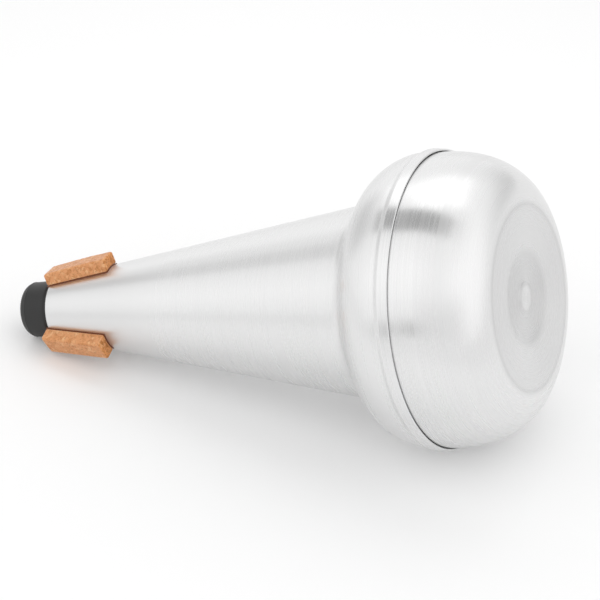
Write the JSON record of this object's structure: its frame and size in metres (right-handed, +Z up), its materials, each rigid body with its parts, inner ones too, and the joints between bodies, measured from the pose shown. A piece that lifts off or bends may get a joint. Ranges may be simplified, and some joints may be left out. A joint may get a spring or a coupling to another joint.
{
  "type": "trombone mute",
  "caption": "Cone-and-bowl brass instrument mute of spun aluminium, with a rubber tip, cork strips that wedge in the bell and a closed, dished end.",
  "frame": {"origin": "on the surface that the mute lies on, under the middle of its bounding box", "axes": "+Z up from that surface; +X level, towards the closed end of the mute lying on its side on its collar and its tip, so that the mute's own axis rises 15.0 degrees from +X; +Y to the left seen from the tip"},
  "size_m": [0.2278, 0.1198, 0.1177],
  "materials": {
    "spun_aluminium": "spun and finely brushed round the axis",
    "black_rubber": "moulded, matte",
    "cork": "agglomerated cork, cut and sanded"
  },
  "bodies": {
    "root": {"body_shell": "spun_aluminium", "end_cap": "spun_aluminium", "tip_bumper": "black_rubber", "cork_strip_1": "cork", "cork_strip_2": "cork", "cork_strip_3": "cork"}
  },
  "joints": []
}
